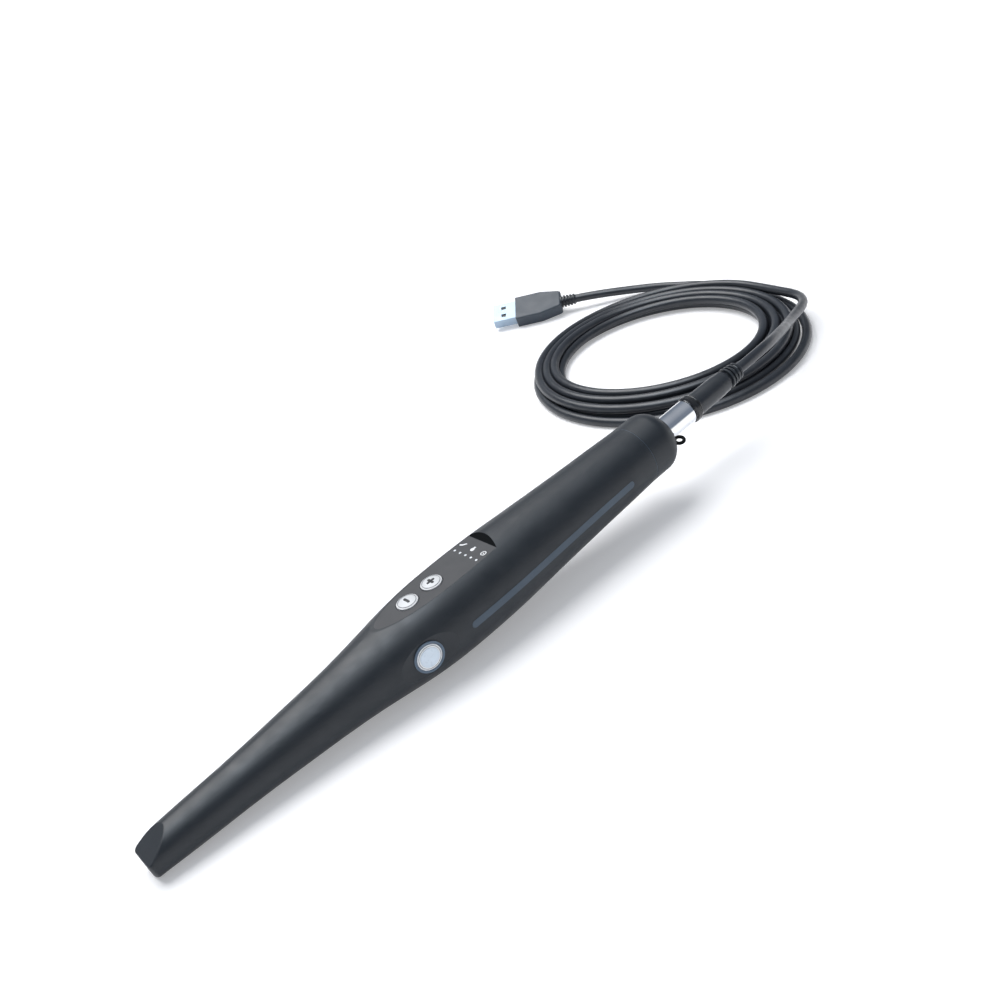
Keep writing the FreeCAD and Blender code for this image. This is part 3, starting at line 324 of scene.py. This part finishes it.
def add_keys():
    for name, body, x in (("minus", "minus_button", MINUS_AT), ("plus", "plus_button", PLUS_AT)):
        top = frame_at(wand(x, 0, KEY_TOP), ALONG, UP)
        bars = [rounded_bar(3.0, 0.95)]
        turned = [(-y, x_) for x_, y in bars[0]]
        outlines = [turned] if name == "minus" else [turned, bars[0]]
        soften(piece(name + "_glyph", outline_prism(outlines, 0.18), top, body, INK), 0.04)
        # Grey ring near the edge of each white key: painted shade at the rim of its dome.
        rim = frame_at(wand(x, 0, KEY_TOP - 0.14), ALONG, UP)
        piece(name + "_rim_shade", ring_mesh(2.95, 0.16, 0.06, 0.01), rim, body, RIM_GREY)
        seat = frame_at(wand(x, 0, KEYPAD_TOP - 0.02), ALONG, UP)
        piece(name + "_seat_line", ring_mesh(3.78, 0.22, 0.05, 0.01), seat, "handpiece", INK)


def add_icons():
    """Three plain status signs behind the indicator row: a tick, a lamp and a ring with a dot."""
    base = [frame_at(wand(SIGNS_AT, side * SIGN_SPACING, KEYPAD_TOP - 0.01), ALONG, UP)
            for side in (1, 0, -1)]
    tick = [(-0.9, 0.8), (-0.45, 1.2), (-0.1, 0.35), (1.0, -0.8), (0.75, -1.25), (-0.45, -0.2)]
    soften(piece("sign_tick", outline_prism([tick], 0.06), base[0], "handpiece", PRINT), 0.02)
    lamp = [circle(0.72, -0.35, 0), [(0.3, -0.4), (1.05, -0.4), (1.05, 0.4), (0.3, 0.4)]]
    soften(piece("sign_lamp", outline_prism(lamp, 0.06), base[1], "handpiece", PRINT), 0.02)
    piece("sign_ring", ring_mesh(0.85, 0.32, 0.06), base[2], "handpiece", PRINT)
    soften(piece("sign_dot", outline_prism([circle(0.26)], 0.06), base[2], "handpiece", PRINT), 0.02)


# ---------------------------------------------------------------- capture buttons

def add_capture(tag):
    inward = Vector(joints["capture_press_" + tag]["axis"]).normalized()
    low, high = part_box("capture_ring_" + tag)
    middle = (low + high) / 2
    bodies = [Vector(v.co) for v in frame["nodes"]["capture_button_" + tag].data.vertices]
    outer = max(-v.dot(inward) for v in bodies)
    top = middle - inward * (outer + middle.dot(inward))
    body = "capture_" + tag
    place = frame_at(top, ALONG, -inward)
    dome = [(0, 0.10)] + [(3.2 * i / 12, 0.10 - 0.21 * (i / 12) ** 2) for i in range(1, 13)] + [(3.3, -0.3)]
    piece("capture_lens_" + tag, lathe(dome), place, body, PALE_BLUE)
    groove = place @ Matrix.Translation((0, 0, -0.30 * MM))
    piece("capture_groove_" + tag, ring_mesh(3.72, 0.18, 0.06, 0.01), groove, body, RIM_GREY)


# ---------------------------------------------------------------- seam, window and cable fittings

def add_body_details():
    place = frame_at(wand(SEAM_AT, 0, 0), ACROSS, ALONG)
    profile = [(10.60, 0), (10.84, 0), (10.87, 0.07), (10.84, 0.14), (10.60, 0.14), (10.60, 0)]
    piece("seam_line", lathe(profile, 128), place, "handpiece", MATERIALS["strip_blue"])
    place = frame_at(wand(GRIP_AT, 0, 0), ACROSS, ALONG)
    bands = [(4.0, 0.1), (4.34, 0.2), (4.38, 0.5), (4.34, 0.8), (4.0, 0.9)]
    piece("grip_band", lathe(bands, 96), place, "cable", MATERIALS["collar_black"])


mount = next(m for m in frame["record"]["mounts"] if m["name"] == "usb_a_plug")
PLUG_TIP = Vector(mount["pos_m"])
PLUG_BACK = -Vector(mount["axis"]).normalized()


def add_plug_details():
    start = PLUG_TIP + PLUG_BACK * (USB_SHELL + USB_GRIP) * MM
    profile = [(0, -0.4), (3.0, -0.4), (3.0, 0.5)]
    for i in range(4):
        z = 0.7 + 1.6 * i
        crest = 3.0 - 0.13 * i
        profile += [(2.25, z), (2.25, z + 0.45), (crest, z + 0.6), (crest + 0.05, z + 0.95), (crest, z + 1.3)]
    profile += [(2.2, 7.0), (2.05, 7.6), (0, 7.6)]
    relief = piece("usb_strain_relief", lathe(profile), frame_at(start, ACROSS, PLUG_BACK), "cable",
                   MATERIALS["grip_black"])
    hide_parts("usb_relief")
    return soften(relief, 0.08)


# ---------------------------------------------------------------- cable

LEAD = [(182.7, 10.7, 21.5), (203.0, 23.5, 14.6), (234.3, 37.7, 9.8), (241.5, 64.5, 7.4)]
TAIL = [(248.5, 107.0, 2.6), (244.8, 124.0, 2.1), (239.5, 139.5, 2.2)]
HOLE = Vector((186.0, 82.7))
OUTER = Vector((184.3, 76.7))
TURNS = 8.07
PER_TURN = 16
# The control points stand a little outside the curve that they make.
ROUTE_SLACK = 1.014


def outer_reach(heading):
    """Distance from the coil's hole centre to its outer edge along a heading."""
    turn = math.radians(57.0)
    along = Vector((math.cos(heading), math.sin(heading)))
    offset = HOLE - OUTER
    rotate = Matrix.Rotation(-turn, 2)
    p, d = rotate @ offset, rotate @ along
    a, b = 65.5, 60.5
    qa = (d.x / a) ** 2 + (d.y / b) ** 2
    qb = 2 * (p.x * d.x / a ** 2 + p.y * d.y / b ** 2)
    qc = (p.x / a) ** 2 + (p.y / b) ** 2 - 1
    return (-qb + math.sqrt(qb * qb - 4 * qa * qc)) / (2 * qa)


def coil_point(s):
    """Control point of the coil after s turns: three inward on top, then five outward along the floor."""
    heading = math.radians(-18.0 + 360 * s)
    near = 0.5 - 0.5 * math.cos(heading - math.radians(57))
    share = max(0.0, 0.90 - 0.30 * s) if s < 3.4 else 0.215 * (s - 3.45)
    share = max(0.0, min(1.0, share))
    share += near * (share ** 1.25 - share)
    fall = max(0.0, min(1.0, (s - 3.0) / 0.45))
    height = 5.75 - 0.3 * near - (3.7 - 0.3 * near) * fall + 1.6 * max(0.0, 1 - s / 0.25)
    inside = 45.2 + 0.5 * math.sin(2 * heading + 1.7 * s) * (1 - 0.6 * fall)
    radius = inside + share * (outer_reach(heading) - 0.6 - inside)
    radius *= ROUTE_SLACK
    return (HOLE.x + radius * math.cos(heading), HOLE.y + radius * math.sin(heading), height)


def add_cable():
    start = wand(RELIEF_END, 0, 0) / MM
    ahead = start + ALONG * 14.5
    end = (PLUG_TIP + PLUG_BACK * (USB_SHELL + USB_GRIP + USB_RELIEF) * MM) / MM
    out = end + PLUG_BACK * 8
    count = int(TURNS * PER_TURN)
    coil = [coil_point(i / PER_TURN) for i in range(1, count + 1)]
    points = [tuple(start), tuple(ahead)] + LEAD + coil + TAIL + [tuple(out), tuple(end)]
    data = bpy.data.curves.new("usb_cable", "CURVE")
    data.dimensions = "3D"
    data.bevel_depth = CORD_RADIUS * MM
    data.bevel_resolution = 6
    data.resolution_u = 6
    data.use_fill_caps = True
    spline = data.splines.new("NURBS")
    spline.points.add(len(points) - 1)
    for spot, point in zip(spline.points, points):
        spot.co = [c * MM for c in point] + [1]
    spline.order_u = 3
    spline.use_endpoint_u = True
    data.materials.append(MATERIALS["cable_black"])
    cable = bpy.data.objects.new("usb_cable", data)
    scene.collection.objects.link(cable)
    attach(cable, "cable")
    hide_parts("cable_lead", "cable_coil", "cable_tail")


# ---------------------------------------------------------------- floor and light

def add_floor():
    mesh = bmesh.new()
    bmesh.ops.create_grid(mesh, x_segments=1, y_segments=1, size=40000)
    data = bpy.data.meshes.new("floor")
    mesh.to_mesh(data)
    mesh.free()
    data.transform(Matrix.Scale(MM, 4))
    data.materials.append(material("floor_white", (0.80, 0.80, 0.81), 0.9, mottle=0.01, bump=0.0, patch=400,
                                   Specular_IOR_Level=0.1, Emission_Color=(1, 1, 1, 1),
                                   Emission_Strength=0.30))
    floor = bpy.data.objects.new("floor", data)
    scene.collection.objects.link(floor)


def area_light(name, place, target, size, power, color=(1, 1, 1)):
    data = bpy.data.lights.new(name, "AREA")
    data.shape = "DISK"
    data.size = size
    data.energy = power
    data.color = color
    lamp = bpy.data.objects.new(name, data)
    scene.collection.objects.link(lamp)
    lamp.matrix_world = frame_at(Vector(place), (1, 0, 0), Vector(place) - Vector(target))
    return lamp


def sun_light(name, direction, spread_angle, strength):
    data = bpy.data.lights.new(name, "SUN")
    data.energy = strength
    data.angle = math.radians(spread_angle)
    lamp = bpy.data.objects.new(name, data)
    scene.collection.objects.link(lamp)
    lamp.matrix_world = frame_at(Vector((0, 0, 1)), (1, 0, 0), Vector(direction))


def add_world():
    """Sky that is white at the horizon, dim above it and paler overhead."""
    world = bpy.data.worlds.new("studio")
    scene.world = world
    world.use_nodes = True
    tree = world.node_tree
    coords = tree.nodes.new("ShaderNodeTexCoord")
    split = tree.nodes.new("ShaderNodeSeparateXYZ")
    ramp = tree.nodes.new("ShaderNodeValToRGB")
    tree.links.new(coords.outputs["Generated"], split.inputs["Vector"])
    tree.links.new(split.outputs["Z"], ramp.inputs["Fac"])
    stops = [(0.0, (1.3, 1.3, 1.3)), (0.10, (0.9, 0.9, 0.9)), (0.22, (0.17, 0.20, 0.25)),
             (0.6, (0.20, 0.23, 0.28)), (1.0, (0.42, 0.44, 0.48))]
    for position, color in stops[1:-1]:
        ramp.color_ramp.elements.new(position)
    for element, (position, color) in zip(ramp.color_ramp.elements, stops):
        element.color = (*color, 1)
    tree.links.new(ramp.outputs["Color"], tree.nodes["Background"].inputs["Color"])
    tree.nodes["Background"].inputs["Strength"].default_value = 1.0


def add_light():
    add_world()
    sun_light("key", (-0.02, 0.44, 0.90), 50, 3.1)
    sheen = area_light("sheen", (0.0, -0.14, 1.0), (0.02, 0.0, 0.02), 0.75, 8.5, (0.84, 0.92, 1.0))
    sheen.visible_diffuse = False
    scene.view_settings.view_transform = "Standard"


add_camera()
relief = add_plug_details()
add_cable()
add_keys()
add_icons()
add_capture("left")
add_capture("right")
add_body_details()
add_floor()
add_light()
